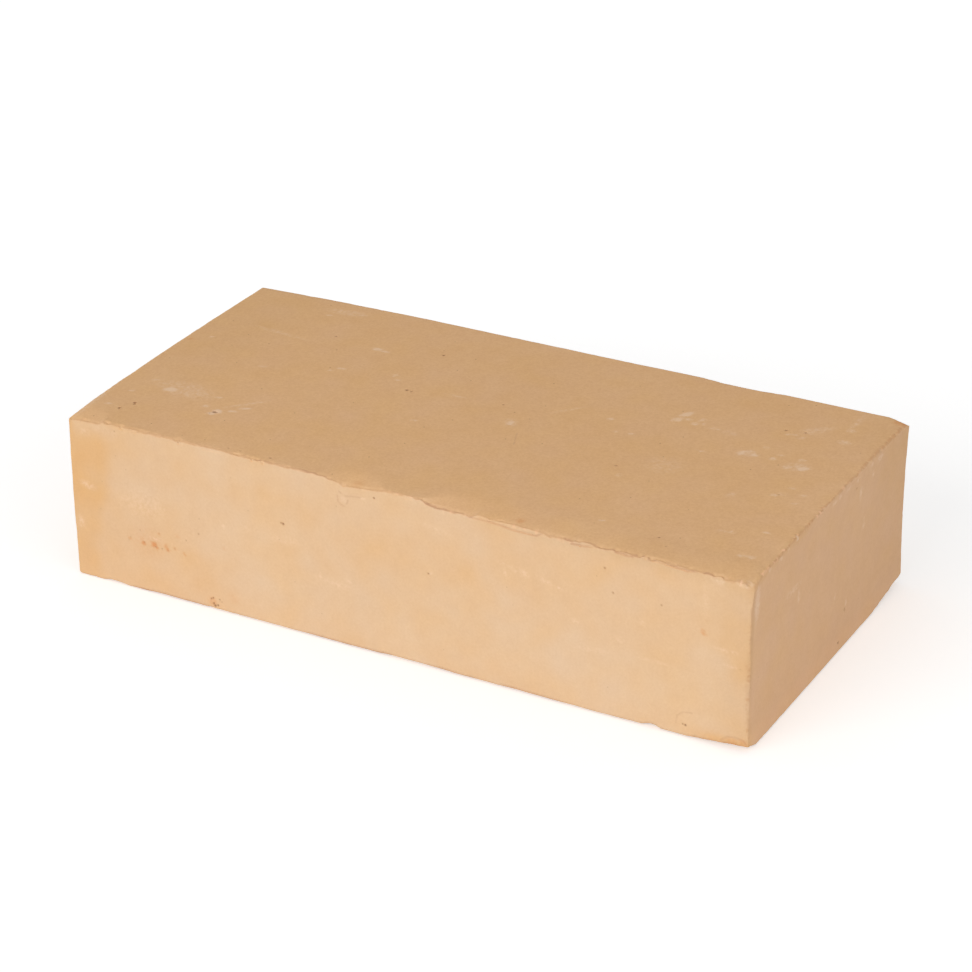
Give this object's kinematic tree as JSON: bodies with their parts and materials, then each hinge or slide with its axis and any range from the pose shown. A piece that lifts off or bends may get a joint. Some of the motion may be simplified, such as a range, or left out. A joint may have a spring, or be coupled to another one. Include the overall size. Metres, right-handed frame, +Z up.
{
  "type": "clay brick",
  "caption": "Solid rectangular fired clay brick with flat bed faces, plain long faces, slightly hollow ends and worn, chipped arrises.",
  "frame": {"origin": "middle of the lower bed face, on the level floor that the brick lies on", "axes": "+X along the length, +Y through the width towards the back long face, +Z up through the height"},
  "size_m": [0.25, 0.124, 0.06],
  "materials": {
    "fired_clay": "matt, fine-grained buff fired clay with small pores, pale scuffs and a few rust-coloured specks"
  },
  "bodies": {
    "root": {"brick": "fired_clay"}
  },
  "joints": []
}
